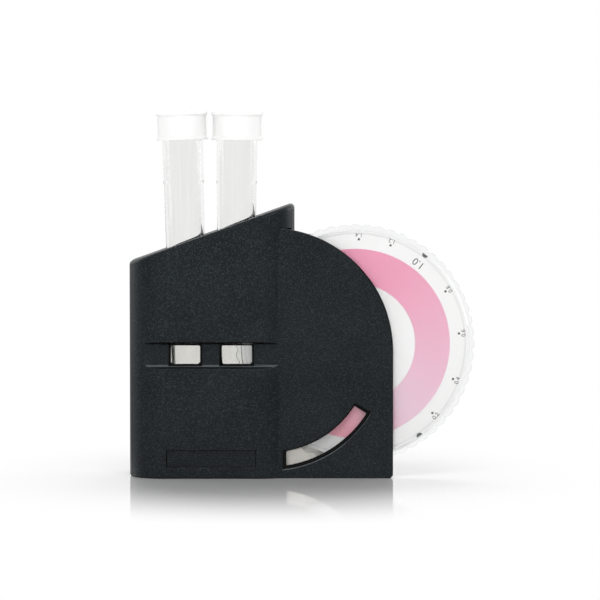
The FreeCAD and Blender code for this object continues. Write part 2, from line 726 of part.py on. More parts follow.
def build_disc_plate():
    tip = value(DISC_ROUND)
    outline = lobed_outline(tip, tip - value("lobe_deep"), round(value("lobe_count")))
    outline.translate(Vector(0, value(DISC_FRONT), 0))
    back = Vector(0, 1, 0)
    plate = Part.Face(outline).extrude(back * value("disc_thick"))
    front = Vector(0, value(DISC_FRONT), 0)
    recess = Part.makeCylinder(value(RECESS_ROUND), value("disc_thick - disc_floor"), front, back)
    hole = Part.makeCylinder(value("hub_width / 2 + hub_fit"), value("disc_thick"), front, back)
    item = doc.addObject("Part::Feature", "disc_plate")
    item.Label = "disc_plate"
    item.Shape = plate.cut(recess).cut(hole)
    place_disc(item)
    return item


def build_ring(label, front, thickness, outer, inner):
    body = new_body(label)
    ring = front_sketch(body, "ring", front)
    add_circle(ring, "0", "0", outer)
    add_circle(ring, "0", "0", inner)
    pad(body, ring, thickness)
    place_disc(body)
    return body


def build_disc_films():
    layers = "(disc_floor + 2 * film_thick + film_play)"
    edge = f"2 * ({RECESS_ROUND} - film_edge)"
    return [
        build_ring("scale_film", f"{RECESS_FLOOR} - film_thick", "film_thick", edge, "film_hole"),
        build_ring("colour_film", f"{RECESS_FLOOR} - 2 * film_thick", "film_thick",
                   f"2 * {COLOUR_OUTER}", f"2 * {COLOUR_INNER}"),
        build_ring("cover_disc", DISC_FRONT, f"disc_thick - {layers}", edge,
                   "hub_width + 2 * hub_fit"),
    ]


# Hub pin: its thin collar is trapped between the plate and the cover, its ends run in the channels
def build_disc_hub():
    body = new_body("disc_hub")
    profile = plan_sketch(body, "profile", "0")
    front = f"(-{SLOT} - channel_deep + hub_end_play)"
    back = "(channel_deep - hub_end_play)"
    collar_back = f"({RECESS_FLOOR} - film_play)"
    collar_front = f"({collar_back} - collar_thick)"
    add_polygon(profile, (
        ("0", front),
        ("hub_width / 2", front),
        ("hub_width / 2", collar_front),
        ("hub_collar / 2", collar_front),
        ("hub_collar / 2", collar_back),
        ("hub_width / 2", collar_back),
        ("hub_width / 2", back),
        ("0", back),
    ))
    revolve(body, profile)
    place_disc(body)
    return body


# Fasteners: one turned profile, set at each of its places
def build_screws(label, places, seat, profile):
    points = [Vector(value(radius), value(seat) + value(depth), 0) for radius, depth in profile]
    section = Part.Face(Part.makePolygon(points + points[:1]))
    screw = section.revolve(Vector(0, 0, 0), Vector(0, 1, 0), 360)
    copies = []
    for across, up in places:
        copies.append(screw.translated(Vector(value(across), 0, value(up))))
    item = doc.addObject("Part::Feature", label)
    item.Label = label
    item.Shape = copies[0] if len(copies) == 1 else Part.makeCompound(copies)
    return item


def pan_head(seat):
    return (
        ("0", "head_high"),
        ("screw_head / 2", "head_high"),
        ("screw_head / 2", "0"),
        ("screw_shank / 2", "0"),
        ("screw_shank / 2", f"-({seat}) - screw_bite"),
        ("0", f"-({seat}) - screw_bite"),
    )


def build_fasteners():
    block_seat = f"{REAR} - head_recess"
    sunk = "(pin_head - pin_shank) / 2"
    countersunk = (
        ("0", "0"),
        ("pin_head / 2", "0"),
        ("pin_shank / 2", sunk),
        ("pin_shank / 2", "pin_length"),
        ("0", "pin_length"),
    )
    return [
        build_screws("block_screws", SCREW_PLACES, block_seat, pan_head(block_seat)),
        build_screws("wing_screw", (WING_SCREW_PLACE,), "plate_thick", pan_head("plate_thick")),
        build_screws("carrier_screws", PIN_PLACES, "0", countersunk),
    ]


nodes = [
    build_front_shell(),
    build_rear_shell(),
    build_tube_carrier(),
    build_diffuser(),
    build_backing(),
    build_disc_plate(),
    *build_disc_films(),
    build_disc_hub(),
    *(build_tube(side) for side in ("left", "right")),
    *(build_cap(side) for side in ("left", "right")),
    *build_fasteners(),
]
doc.recompute()

# Every feature must have come out whole, and every cut must have taken something away
for item in doc.Objects:
    if "Invalid" in item.State or "Error" in item.State:
        raise RuntimeError(f"{item.Name} failed: {item.State}")
    if item.TypeId == "PartDesign::Pocket":
        before = item.BaseFeature.Shape.Volume
        if item.Shape.Volume > before - 1e-3:
            raise RuntimeError(f"{item.Name} cut nothing")
for node in nodes:
    if node.Shape.isNull() or not node.Shape.isValid():
        raise RuntimeError(f"{node.Label} has no valid shape")

os.makedirs("parts", exist_ok=True)
for node in nodes:
    node.Shape.exportStep(f"parts/{node.Label}.step")
    print(node.Label, len(node.Shape.Solids), "solids", round(node.Shape.Volume, 1), "mm3")
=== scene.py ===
# Colour comparator for water tests: black moulded housing, two capped viewing tubes in its
# sloped top, and a clear colour disc drawn out of the slot at the right.
import bmesh
import bpy
from math import cos, pi, radians, sin
from mathutils import Matrix, Vector
from mathutils.bvhtree import BVHTree


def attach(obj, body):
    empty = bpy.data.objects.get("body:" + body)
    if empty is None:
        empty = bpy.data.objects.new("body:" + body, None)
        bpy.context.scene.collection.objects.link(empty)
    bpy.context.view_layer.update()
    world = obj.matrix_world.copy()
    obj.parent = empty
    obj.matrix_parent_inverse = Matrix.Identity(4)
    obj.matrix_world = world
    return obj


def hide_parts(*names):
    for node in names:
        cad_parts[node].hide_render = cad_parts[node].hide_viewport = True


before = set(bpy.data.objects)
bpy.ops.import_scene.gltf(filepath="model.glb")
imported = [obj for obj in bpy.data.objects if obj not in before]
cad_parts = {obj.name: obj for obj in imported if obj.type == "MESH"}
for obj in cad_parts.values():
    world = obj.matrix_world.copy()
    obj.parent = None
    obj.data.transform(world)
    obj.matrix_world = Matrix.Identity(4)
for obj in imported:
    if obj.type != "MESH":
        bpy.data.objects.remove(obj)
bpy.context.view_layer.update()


# Rear shell: the rear half of the housing, injection moulded in black plastic with a spark-eroded
# grain. The shape is the frame's, with its loose triangles joined and every crisp edge broken by
# the small radius that the mould leaves.
MM = 0.001
JOIN_REACH = 0.002 * MM
FLAT_WITHIN = radians(0.15)
CRISP = radians(50)
MOULD_BREAK = 0.22 * MM
HOUSING_DARK = (0.0026, 0.0036, 0.0044, 1)
HOUSING_LIGHT = (0.0350, 0.0470, 0.0540, 1)
HOUSING_GRAIN = 0.56 * MM
HOUSING_GLOSS = 0.2
CELL_SHARE = 0.7
FLOW_SCALE = 38.0
FLOW_SHARE = 0.3
SPECKLE_RANGE = (0.49, 0.72)
SPECKLE_SHARE = 0.8
GRAIN_RELIEF = 0.55


def joined_form(node):
    form = bmesh.new()
    form.from_mesh(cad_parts[node].data)
    bmesh.ops.remove_doubles(form, verts=form.verts, dist=JOIN_REACH)
    bmesh.ops.dissolve_limit(form, angle_limit=FLAT_WITHIN, verts=form.verts, edges=form.edges)
    return form


def crisp_edges(form):
    return [edge for edge in form.edges if edge.is_manifold and edge.calc_face_angle() > CRISP]


# Points that a bevel throws clear of the old surface go back to it
def break_edges(form, width, steps, edges=None):
    skin = BVHTree.FromBMesh(form)
    bmesh.ops.bevel(form, geom=edges or crisp_edges(form), offset=width, offset_type="OFFSET",
                    segments=steps, profile=0.5, affect="EDGES", clamp_overlap=False, material=-1)
    for point in form.verts:
        nearest, _, _, strayed = skin.find_nearest(point.co)
        if strayed > width / 2:
            point.co = nearest


def finished(form, name, material, body, stands_for=()):
    for face in form.faces:
        face.smooth = True
    for edge in form.edges:
        edge.smooth = not edge.is_manifold or edge.calc_face_angle() < CRISP
    mesh = bpy.data.meshes.new(name)
    form.to_mesh(mesh)
    form.free()
    mesh.materials.append(material)
    piece = bpy.data.objects.new(name, mesh)
    bpy.context.scene.collection.objects.link(piece)
    flats = piece.modifiers.new("flats stay flat", "WEIGHTED_NORMAL")
    flats.keep_sharp = True
    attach(piece, body)
    if stands_for:
        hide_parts(*stands_for)
    return piece


def new_finish(name):
    material = bpy.data.materials.new(name)
    material.use_nodes = True
    return material, material.node_tree, material.node_tree.nodes["Principled BSDF"]


def add_node(tree, kind, **values):
    node = tree.nodes.new(kind)
    for key, content in values.items():
        if key in node.inputs:
            node.inputs[key].default_value = content
        else:
            setattr(node, key, content)
    return node


def group_of(name, inputs, outputs):
    group = bpy.data.node_groups.new(name, "ShaderNodeTree")
    for label, kind in inputs:
        group.interface.new_socket(label, in_out="INPUT", socket_type=kind)
    for label, kind in outputs:
        group.interface.new_socket(label, in_out="OUTPUT", socket_type=kind)
    return group, group.nodes.new("NodeGroupInput"), group.nodes.new("NodeGroupOutput")


# Moulded grain: fine pits and speckle, with slow patches where the plastic flowed unevenly
def make_grain_group():
    group, given, result = group_of(
        "moulded grain",
        (("Place", "NodeSocketVector"), ("Grain Size", "NodeSocketFloat"),
         ("Dark", "NodeSocketColor"), ("Light", "NodeSocketColor"),
         ("Least Roughness", "NodeSocketFloat"), ("Most Roughness", "NodeSocketFloat")),
        (("Colour", "NodeSocketColor"), ("Roughness", "NodeSocketFloat"),
         ("Height", "NodeSocketFloat")))
    link = group.links.new
    count = add_node(group, "ShaderNodeMath", operation="DIVIDE")
    count.inputs[0].default_value = 1
    link(given.outputs["Grain Size"], count.inputs[1])
    pits = add_node(group, "ShaderNodeTexNoise", Detail=3.0, Roughness=0.6)
    link(given.outputs["Place"], pits.inputs["Vector"])
    link(count.outputs[0], pits.inputs["Scale"])
    cells = add_node(group, "ShaderNodeTexVoronoi", feature="SMOOTH_F1", Smoothness=0.6)
    link(given.outputs["Place"], cells.inputs["Vector"])
    link(count.outputs[0], cells.inputs["Scale"])
    flow = add_node(group, "ShaderNodeTexNoise", Scale=FLOW_SCALE, Detail=2.0)
    link(given.outputs["Place"], flow.inputs["Vector"])
    height = add_node(group, "ShaderNodeMath", operation="MULTIPLY_ADD")
    link(cells.outputs["Distance"], height.inputs[0])
    height.inputs[1].default_value = CELL_SHARE
    link(pits.outputs["Fac"], height.inputs[2])
    link(height.outputs[0], result.inputs["Height"])
    speckle = add_node(group, "ShaderNodeMapRange")
    speckle.inputs["From Min"].default_value = SPECKLE_RANGE[0]
    speckle.inputs["From Max"].default_value = SPECKLE_RANGE[1]
    link(pits.outputs["Fac"], speckle.inputs["Value"])
    shade = add_node(group, "ShaderNodeMath", operation="MULTIPLY_ADD", use_clamp=True)
    link(flow.outputs["Fac"], shade.inputs[0])
    shade.inputs[1].default_value = FLOW_SHARE
    softened = add_node(group, "ShaderNodeMath", operation="MULTIPLY")
    link(speckle.outputs["Result"], softened.inputs[0])
    softened.inputs[1].default_value = SPECKLE_SHARE
    link(softened.outputs[0], shade.inputs[2])
    tint = add_node(group, "ShaderNodeMix", data_type="RGBA")
    link(shade.outputs[0], tint.inputs["Factor"])
    link(given.outputs["Dark"], tint.inputs["A"])
    link(given.outputs["Light"], tint.inputs["B"])
    link(tint.outputs["Result"], result.inputs["Colour"])
    rough = add_node(group, "ShaderNodeMapRange")
    link(flow.outputs["Fac"], rough.inputs["Value"])
    link(given.outputs["Least Roughness"], rough.inputs["To Min"])
    link(given.outputs["Most Roughness"], rough.inputs["To Max"])
    link(rough.outputs["Result"], result.inputs["Roughness"])
    return group


GRAIN = make_grain_group()


def moulded_finish(name, dark, light, grain_size, grain_depth, roughness):
    material, tree, shader = new_finish(name)
    place = add_node(tree, "ShaderNodeTexCoord")
    grain = add_node(tree, "ShaderNodeGroup", node_tree=GRAIN)
    grain.inputs["Grain Size"].default_value = grain_size
    grain.inputs["Dark"].default_value = dark
    grain.inputs["Light"].default_value = light
    grain.inputs["Least Roughness"].default_value = roughness[0]
    grain.inputs["Most Roughness"].default_value = roughness[1]
    bump = add_node(tree, "ShaderNodeBump", Strength=GRAIN_RELIEF, Distance=grain_depth)
    link = tree.links.new
    link(place.outputs["Object"], grain.inputs["Place"])
    link(grain.outputs["Colour"], shader.inputs["Base Color"])
    link(grain.outputs["Roughness"], shader.inputs["Roughness"])
    link(grain.outputs["Height"], bump.inputs["Height"])
    link(bump.outputs["Normal"], shader.inputs["Normal"])
    return material, shader


housing_black, shader = moulded_finish("housing black", HOUSING_DARK, HOUSING_LIGHT,
                                       grain_size=HOUSING_GRAIN, grain_depth=0.1 * MM,
                                       roughness=(0.34, 0.46))
shader.inputs["Specular IOR Level"].default_value = HOUSING_GLOSS
rear_form = joined_form("rear_shell")
break_edges(rear_form, MOULD_BREAK, 2)
finished(rear_form, "rear_moulding", housing_black, "housing", ["rear_shell"])


# Diffuser: a sawn opal plate that fills the rear window behind the tubes, so that both are looked
# at against even light. It drops into a shallow recess.
OPAL_PALE = (0.93, 0.92, 0.885, 1)
OPAL_CLOUD = (0.86, 0.855, 0.82, 1)
OPAL_BREAK = 0.3 * MM


def surface_noise(tree, scale, detail):
    place = add_node(tree, "ShaderNodeTexCoord")
    noise = add_node(tree, "ShaderNodeTexNoise", Scale=scale, Detail=detail)
    tree.links.new(place.outputs["Object"], noise.inputs["Vector"])
    return noise.outputs["Fac"]


def drifting_colour(tree, pattern, first, second):
    tint = add_node(tree, "ShaderNodeMix", data_type="RGBA")
    tint.inputs["A"].default_value = first
    tint.inputs["B"].default_value = second
    tree.links.new(pattern, tint.inputs["Factor"])
    return tint.outputs["Result"]


opal_plastic, tree, shader = new_finish("opal plastic")
cloud = surface_noise(tree, scale=90.0, detail=3.0)
tree.links.new(drifting_colour(tree, cloud, OPAL_PALE, OPAL_CLOUD), shader.inputs["Base Color"])
shader.inputs["Roughness"].default_value = 0.85
shader.inputs["IOR"].default_value = 1.2
shader.inputs["Transmission Weight"].default_value = 0.9
diffuser_form = joined_form("diffuser_plate")
break_edges(diffuser_form, OPAL_BREAK, 2)
finished(diffuser_form, "opal_diffuser", opal_plastic, "housing",
         ["diffuser_plate"])


# Tube carrier: a matt black moulding inside the housing, with an aperture for each tube and guide
# walls between them. Four countersunk steel screws hold it to pillars of the rear shell.
INNER_DARK = (0.006, 0.006, 0.0065, 1)
INNER_LIGHT = (0.013, 0.013, 0.014, 1)
CARRIER_BREAK = 0.15 * MM
STEEL_DARK = (0.42, 0.42, 0.43, 1)
STEEL_LIGHT = (0.62, 0.62, 0.63, 1)
STEEL_ROUGHNESS = (0.24, 0.42)
SCREW_BREAK = 0.12 * MM

inner_black, shader = moulded_finish("inner black", INNER_DARK, INNER_LIGHT, grain_size=0.4 * MM,
                                     grain_depth=0.03 * MM, roughness=(0.55, 0.7))
shader.inputs["Specular IOR Level"].default_value = 0.3
carrier_form = joined_form("tube_carrier")
break_edges(carrier_form, CARRIER_BREAK, 2)
finished(carrier_form, "carrier_moulding", inner_black, "housing",
         ["tube_carrier"])


def drifting_value(tree, pattern, least, most):
    span = add_node(tree, "ShaderNodeMapRange")
    span.inputs["To Min"].default_value = least
    span.inputs["To Max"].default_value = most
    tree.links.new(pattern, span.inputs["Value"])
    return span.outputs["Result"]


screw_steel, tree, shader = new_finish("screw steel")
turning = surface_noise(tree, scale=1800.0, detail=4.0)
link = tree.links.new
link(drifting_colour(tree, turning, STEEL_DARK, STEEL_LIGHT), shader.inputs["Base Color"])
link(drifting_value(tree, turning, *STEEL_ROUGHNESS), shader.inputs["Roughness"])
shader.inputs["Metallic"].default_value = 1.0


def screw_form(node):
    form = joined_form(node)
    break_edges(form, SCREW_BREAK, 2)
    return form


finished(screw_form("carrier_screws"), "carrier_screw_set", screw_steel, "housing",
         ["carrier_screws"])


# Front shell: block face with the viewing groove, two windows and a bare recessed panel, and the
# set-back wing with its curved scale window. Moulded in the same black plastic as the rear shell,
# with polished sunk steps. Painted shade darkens the sunk steps, the panel walls and the underside
# of the groove's hood. A painted highlight band over a painted dark band marks the groove's slope,
# and a painted highlight lightens the scale window's lower lip.
WING_FACE = -5.7 * MM
FLUSH_WITHIN = 0.01 * MM
SEAT_HEIGHT = 54.5 * MM
LIP_BREAK = 0.45 * MM
SCALE_BAND = (42.8 * MM, 51.1 * MM)
SCALE_TOP = 34.0 * MM
GROOVE_BAND = (47.2 * MM, 59.0 * MM)
VIEW_BAND = (-44.0 * MM, -5.5 * MM)
PANEL_BOX = (-52.0 * MM, -3.0 * MM, 3.0 * MM, 14.0 * MM)
# Painted shade for the sunk steps, the panel walls and the hood's underside, darker than the
# housing
SHADE_PAINTED_DARK = (0.0012, 0.0012, 0.0014, 1)
SHADE_PAINTED_LIGHT = (0.0030, 0.0030, 0.0034, 1)
# Painted light on the groove's slope, set by height: a painted dark band at its foot, a painted
# highlight band above
SLOPE_RISE = (47.2 * MM, 48.8 * MM)
SLOPE_SHADE = (0.0015, 0.0020, 0.0022, 1)
SLOPE_PAINTED_GLINT = (0.1000, 0.1150, 0.1250, 1)
SHADE_END = 0.52
GLINT_START = 0.64
GLINT_END = 0.95
# Painted highlight for the up-facing lip along the scale window's lower edge
LIP_GLINT_DARK = (0.055, 0.063, 0.068, 1)
LIP_GLINT_LIGHT = (0.095, 0.105, 0.112, 1)
SHADE_PAINTED_FINISH, SLOPE_FINISH, LIP_GLINT_FINISH = 1, 2, 3


def away_from_seat(spot):
    return Vector((spot.x, spot.z - SEAT_HEIGHT)).length


def on_scale_step(spot):
    return (SCALE_BAND[0] < away_from_seat(spot) < SCALE_BAND[1] and 0 < spot.x
            and spot.z < SCALE_TOP)


def on_window_step(spot):
    return (VIEW_BAND[0] < spot.x < VIEW_BAND[1]
            and GROOVE_BAND[0] < spot.z < GROOVE_BAND[1])


def on_lip(edge):
    ends = [point.co for point in edge.verts]
    flush = all(abs(end.y - WING_FACE) < FLUSH_WITHIN for end in ends)
    ways = sorted((face.normal for face in edge.link_faces), key=lambda way: way.z)
    in_groove = all(GROOVE_BAND[0] < end.z < GROOVE_BAND[1] for end in ends)
    sloped = abs(ways[0].z) < 0.1 and 0.75 < ways[1].z < 0.9 and ways[0].y < -0.3
    return (flush and all(map(on_scale_step, ends))) or (in_groove and sloped)


def on_panel_wall(face):
    left, right, low, high = PANEL_BOX
    return (left < face.center.x < right and low < face.center.z < high
            and face.center.y < WING_FACE and abs(face.normal.y) < 0.95)


def on_scale_lip(face):
    spot, way = face.center, face.normal
    return (abs(away_from_seat(spot) - SCALE_BAND[1]) < 2 * LIP_BREAK and spot.z < SCALE_TOP
            and spot.y < WING_FACE + LIP_BREAK and way.z > 0.2 and -0.97 < way.y < -0.2)


front_form = joined_form("front_shell")
lips = [edge for edge in crisp_edges(front_form) if on_lip(edge)]
break_edges(front_form, LIP_BREAK, 3, lips)
break_edges(front_form, MOULD_BREAK, 2)
front_piece = finished(front_form, "front_moulding", housing_black, "housing",
                       ["front_shell"])

# Near-black, smooth finish: partly the polished plastic of the sunk steps, partly painted shade
# where these faces lie in shadow
shade_painted_black, shader = moulded_finish("sunk painted shade black", SHADE_PAINTED_DARK, SHADE_PAINTED_LIGHT,
                                      grain_size=0.4 * MM, grain_depth=0.01 * MM,
                                      roughness=(0.22, 0.3))
shader.inputs["Specular IOR Level"].default_value = HOUSING_GLOSS

# The groove's slope: a painted dark band low down and a painted highlight band higher up, by
# height
slope_glint_black, shader = moulded_finish("groove slope painted glint", HOUSING_DARK, HOUSING_LIGHT,
                                     grain_size=HOUSING_GRAIN, grain_depth=0.02 * MM,
                                     roughness=(0.3, 0.4))
shader.inputs["Specular IOR Level"].default_value = HOUSING_GLOSS
tree = slope_glint_black.node_tree
place = add_node(tree, "ShaderNodeTexCoord")
split = add_node(tree, "ShaderNodeSeparateXYZ")
climb = add_node(tree, "ShaderNodeMapRange")
climb.inputs["From Min"].default_value = SLOPE_RISE[0]
climb.inputs["From Max"].default_value = SLOPE_RISE[1]
painted_glint_band = add_node(tree, "ShaderNodeValToRGB")
stops = painted_glint_band.color_ramp.elements
stops[0].position = SHADE_END
stops[0].color = SLOPE_SHADE
stops[1].position = GLINT_END
stops[1].color = SLOPE_PAINTED_GLINT
stops.new(GLINT_START).color = SLOPE_PAINTED_GLINT
link = tree.links.new
link(place.outputs["Object"], split.inputs["Vector"])
link(split.outputs["Z"], climb.inputs["Value"])
link(climb.outputs["Result"], painted_glint_band.inputs["Fac"])
link(painted_glint_band.outputs["Color"], shader.inputs["Base Color"])

# Painted highlight: the scale window's lower lip is coloured much paler than the housing, as a
# glint
lip_glint_black, shader = moulded_finish("lip painted glint black", LIP_GLINT_DARK, LIP_GLINT_LIGHT,
                                      grain_size=HOUSING_GRAIN, grain_depth=0.02 * MM,
                                      roughness=(0.25, 0.35))

for finish in (shade_painted_black, slope_glint_black, lip_glint_black):
    front_piece.data.materials.append(finish)
# Finishes by place: painted shade on sunk steps, panel walls and the hood's underside, painted
# bands on the groove's slope, painted highlight on the scale lip
for face in front_piece.data.polygons:
    spot, way = face.center, face.normal
    sunk = spot.y > WING_FACE + LIP_BREAK
    on_step = sunk and (on_scale_step(spot) or on_window_step(spot))
    in_groove = GROOVE_BAND[0] < spot.z < GROOVE_BAND[1] and spot.y < WING_FACE
    under_hood = in_groove and way.z < -0.3
    if on_step or on_panel_wall(face) or under_hood:
        face.material_index = SHADE_PAINTED_FINISH
    elif in_groove and way.z > 0.7:
        face.material_index = SLOPE_FINISH
    elif on_scale_lip(face):
        face.material_index = LIP_GLINT_FINISH


# Scale backing: a pale film glued inside the front shell, behind the scale window, so that the
# print of the disc is read against an even ground.
BACKING_PALE = (0.96, 0.94, 0.88, 1)
BACKING_CLOUD = (0.90, 0.87, 0.80, 1)
BACKING_ROUGHNESS = (0.6, 0.8)
BACKING_BREAK = 0.03 * MM

backing_film, tree, shader = new_finish("backing film")
cloud = surface_noise(tree, scale=260.0, detail=4.0)
link = tree.links.new
link(drifting_colour(tree, cloud, BACKING_PALE, BACKING_CLOUD), shader.inputs["Base Color"])
link(drifting_value(tree, cloud, *BACKING_ROUGHNESS), shader.inputs["Roughness"])
backing_form = joined_form("scale_backing")
break_edges(backing_form, BACKING_BREAK, 1)
finished(backing_form, "pale_backing", backing_film, "housing", ["scale_backing"])


# Housing screws: three long and one short pan-head steel screws, driven from the rear into the
# front shell.
finished(screw_form("block_screws"), "block_screw_set", screw_steel, "housing",
         ["block_screws"])
finished(screw_form("wing_screw"), "wing_foot_screw", screw_steel, "housing",
         ["wing_screw"])


# Viewing tubes: clear moulded plastic, tapered, open at the top, with a raised fill line. Each
# stands on a pad in the housing and leans a little in its hole.
TUBE_MOUTH = 9.0 * MM
TUBE_FOOT = 7.35 * MM
TUBE_LENGTH = 150.0 * MM
TUBE_WALL = 1.3 * MM
TUBE_FLOOR = 2.0 * MM
TUBE_BREAK = 0.2 * MM
FILL_LINE = 122.0 * MM
FILL_HALF = 0.35 * MM
FILL_BEAD = 0.25 * MM
FOOT_CHAMFER = 0.6 * MM
WELL_DEPTH = 12.0 * MM
SEAT_TOP = 5.05 * MM
TUBE_STANDS = {"left": (-33.9 * MM, 1.55), "right": (-14.95 * MM, -0.37)}
ROUND_STEPS = 96
SEAM_REACH = 0.001 * MM
TUBE_GREY = (0.880, 0.880, 0.875, 1)
TUBE_CLEAR = (0.945, 0.945, 0.940, 1)
TUBE_HAZE = (0.015, 0.05)
DRAWN_OUT = (1, 1, 0.04)


def turned_form(profile, closed=False):
    form = bmesh.new()
    points = [form.verts.new((radius, 0, height)) for radius, height in profile]
    following = points[1:] + points[:1] if closed else points[1:]
    lines = [form.edges.new(pair) for pair in zip(points, following)]
    bmesh.ops.spin(form, geom=points + lines, cent=(0, 0, 0), axis=(0, 0, 1), angle=2 * pi,
                   steps=ROUND_STEPS, use_merge=True)
    bmesh.ops.remove_doubles(form, verts=form.verts, dist=SEAM_REACH)
    bmesh.ops.recalc_face_normals(form, faces=form.faces)
    return form


def tube_radius(height):
    return TUBE_FOOT + (TUBE_MOUTH - TUBE_FOOT) * height / TUBE_LENGTH


def stand_in_hole(form, side):
    across, lean = TUBE_STANDS[side]
    tip_up = (TUBE_FOOT - FOOT_CHAMFER) * abs(sin(radians(lean)))
    foot = Matrix.Translation((across, WELL_DEPTH, SEAT_TOP + tip_up))
    bmesh.ops.transform(form, matrix=foot @ Matrix.Rotation(radians(-lean), 4, "Y"),
                        verts=form.verts)


tube_plastic, tree, shader = new_finish("tube plastic")
place = add_node(tree, "ShaderNodeTexCoord")
stretch = add_node(tree, "ShaderNodeMapping", Scale=DRAWN_OUT)
draw_lines = add_node(tree, "ShaderNodeTexNoise", Scale=700.0, Detail=2.0)
drawn = draw_lines.outputs["Fac"]
bump = add_node(tree, "ShaderNodeBump", Strength=0.08, Distance=0.02 * MM)
link = tree.links.new
link(place.outputs["Object"], stretch.inputs["Vector"])
link(stretch.outputs["Vector"], draw_lines.inputs["Vector"])
link(drifting_value(tree, drawn, *TUBE_HAZE), shader.inputs["Roughness"])
link(drifting_colour(tree, drawn, TUBE_GREY, TUBE_CLEAR), shader.inputs["Base Color"])
link(drawn, bump.inputs["Height"])
link(bump.outputs["Normal"], shader.inputs["Normal"])
shader.inputs["IOR"].default_value = 1.25
shader.inputs["Specular IOR Level"].default_value = 0.2
shader.inputs["Transmission Weight"].default_value = 1.0

for side in TUBE_STANDS:
    tube_form = turned_form((
        (0, 0),
        (TUBE_FOOT - FOOT_CHAMFER, 0),
        (tube_radius(FOOT_CHAMFER), FOOT_CHAMFER),
        (tube_radius(FILL_LINE - FILL_HALF), FILL_LINE - FILL_HALF),
        (tube_radius(FILL_LINE) + FILL_BEAD, FILL_LINE),
        (tube_radius(FILL_LINE + FILL_HALF), FILL_LINE + FILL_HALF),
        (TUBE_MOUTH, TUBE_LENGTH),
        (TUBE_MOUTH - TUBE_WALL, TUBE_LENGTH),
        (tube_radius(TUBE_FLOOR) - TUBE_WALL, TUBE_FLOOR),
        (0, TUBE_FLOOR),
    ))
    break_edges(tube_form, TUBE_BREAK, 3)
    stand_in_hole(tube_form, side)
    finished(tube_form, f"{side}_viewing_tube", tube_plastic, f"{side}_tube",
             [f"{side}_tube"])


# Caps: soft white plastic, pressed over the mouths of the tubes, with a bead round the top and the
# foot and a low lip round the crown.
CAP_BODY = 10.55 * MM
CAP_BEAD = 11.15 * MM
BEAD_HIGH = 1.3 * MM
BEAD_BEVEL = 0.45 * MM
CAP_FOOT = TUBE_LENGTH - 9.8 * MM
CAP_CROWN = TUBE_LENGTH + 1.5 * MM
CAP_TOP = CAP_CROWN + 0.9 * MM
CAP_BORE = TUBE_MOUTH + 0.05 * MM
LIP_INNER = CAP_BEAD - BEAD_BEVEL - 1.6 * MM
CAP_BREAK = 0.15 * MM
CAP_MILKY = (0.93, 0.93, 0.92, 1)
CAP_WHITE = (0.97, 0.97, 0.965, 1)
CAP_ROUGHNESS = (0.34, 0.5)

cap_white, tree, shader = new_finish("cap white")
milk = surface_noise(tree, scale=160.0, detail=4.0)
bump = add_node(tree, "ShaderNodeBump", Strength=0.12, Distance=0.05 * MM)
link = tree.links.new
link(drifting_colour(tree, milk, CAP_MILKY, CAP_WHITE), shader.inputs["Base Color"])
link(drifting_value(tree, milk, *CAP_ROUGHNESS), shader.inputs["Roughness"])
link(milk, bump.inputs["Height"])
link(bump.outputs["Normal"], shader.inputs["Normal"])
shader.inputs["Subsurface Weight"].default_value = 0.25
shader.inputs["Subsurface Radius"].default_value = (1.0, 0.95, 0.9)
shader.inputs["Subsurface Scale"].default_value = 0.8 * MM

for side in TUBE_STANDS:
    cap_form = turned_form((
        (0, TUBE_LENGTH),
        (CAP_BORE, TUBE_LENGTH),
        (CAP_BORE, CAP_FOOT),
        (CAP_BEAD, CAP_FOOT),
        (CAP_BEAD, CAP_FOOT + BEAD_HIGH - BEAD_BEVEL),
        (CAP_BODY, CAP_FOOT + BEAD_HIGH),
        (CAP_BODY, CAP_TOP - BEAD_HIGH - BEAD_BEVEL),
        (CAP_BEAD, CAP_TOP - BEAD_HIGH),
        (CAP_BEAD, CAP_TOP - BEAD_BEVEL),
        (CAP_BEAD - BEAD_BEVEL, CAP_TOP),
        (LIP_INNER, CAP_TOP),
        (LIP_INNER, CAP_CROWN),
        (0, CAP_CROWN),
    ))
    break_edges(cap_form, CAP_BREAK, 3)
    stand_in_hole(cap_form, side)
    finished(cap_form, f"{side}_press_cap", cap_white, f"{side}_cap",
             [f"{side}_tube_cap"])


# Hub: a turned plastic pin with a thin collar. The disc spins on it, and its ends run in the guide
# channels of the housing.
DISC_MIDDLE = Vector((37.0 * MM, 0, 57.9 * MM))
HUB_PIN = 2.0 * MM
HUB_COLLAR = 3.6 * MM
HUB_FRONT = -4.6 * MM
HUB_BACK = 1.1 * MM
COLLAR_FRONT = -1.9 * MM
COLLAR_BACK = -1.6 * MM
HUB_BREAK = 0.12 * MM
HUB_DARK = (0.46, 0.45, 0.42, 1)
HUB_LIGHT = (0.58, 0.57, 0.54, 1)


def turned_on_disc_axis(profile, closed=False):
    form = turned_form([(radius, -depth) for radius, depth in profile], closed)
    lay_down = Matrix.Translation(DISC_MIDDLE) @ Matrix.Rotation(pi / 2, 4, "X")
    bmesh.ops.transform(form, matrix=lay_down, verts=form.verts)
    return form


hub_plastic, shader = moulded_finish("hub plastic", HUB_DARK, HUB_LIGHT, grain_size=0.5 * MM,
                                     grain_depth=0.02 * MM, roughness=(0.35, 0.5))
hub_form = turned_on_disc_axis((
    (0, HUB_FRONT),
    (HUB_PIN, HUB_FRONT),
    (HUB_PIN, COLLAR_FRONT),
    (HUB_COLLAR, COLLAR_FRONT),
    (HUB_COLLAR, COLLAR_BACK),
    (HUB_PIN, COLLAR_BACK),
    (HUB_PIN, HUB_BACK),
    (0, HUB_BACK),
))
break_edges(hub_form, HUB_BREAK, 2)
finished(hub_form, "hub_pin", hub_plastic, "hub", ["disc_hub"])


